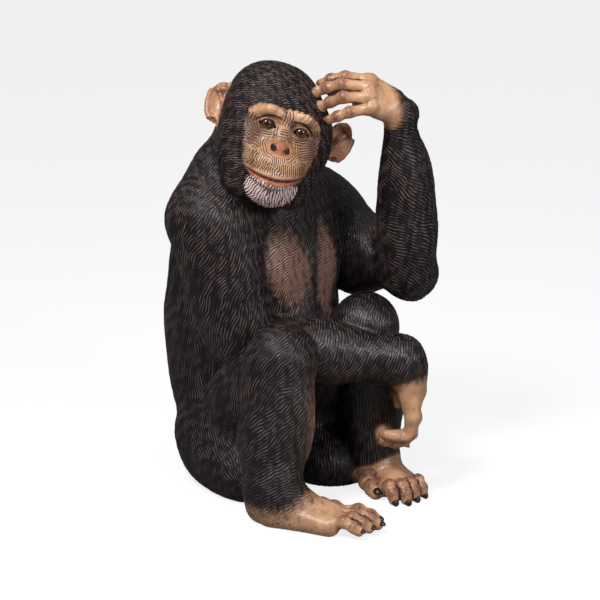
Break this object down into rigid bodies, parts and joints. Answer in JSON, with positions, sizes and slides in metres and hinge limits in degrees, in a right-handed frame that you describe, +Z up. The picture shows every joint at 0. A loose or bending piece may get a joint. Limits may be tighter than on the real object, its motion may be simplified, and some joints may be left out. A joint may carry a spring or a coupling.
{
  "type": "chimpanzee statue",
  "caption": "Life-size painted resin figure of a seated chimpanzee scratching the side of its head, with carved fur and bare face, hands and feet.",
  "frame": {"origin": "middle of the outline, on the floor that the rump and soles rest on", "axes": "+Z up; the body faces -Y, its left side is +X"},
  "size_m": [0.4516, 0.576, 0.7794],
  "materials": {
    "coat": "carved fur in brown-black paint, brushed with red-brown, satin varnish",
    "bare_skin": "ochre-tan paint with a dark wash in the creases, satin varnish",
    "eyes": "red-brown iris and black pupil under gloss varnish"
  },
  "bodies": {
    "root": {"eye_right": "eyes", "eye_left": "eyes", "ear_right": "bare_skin", "ear_left": "bare_skin", "head": "coat", "hand_left": "bare_skin", "hand_right": "bare_skin", "forearm_left": "coat", "forearm_right": "coat", "foot_right": "bare_skin", "foot_left": "bare_skin", "shin_right": "coat", "shin_left": "coat", "upper_arm_right": "coat", "upper_arm_left": "coat", "thigh_right": "coat", "thigh_left": "coat", "torso": "coat"}
  },
  "joints": []
}
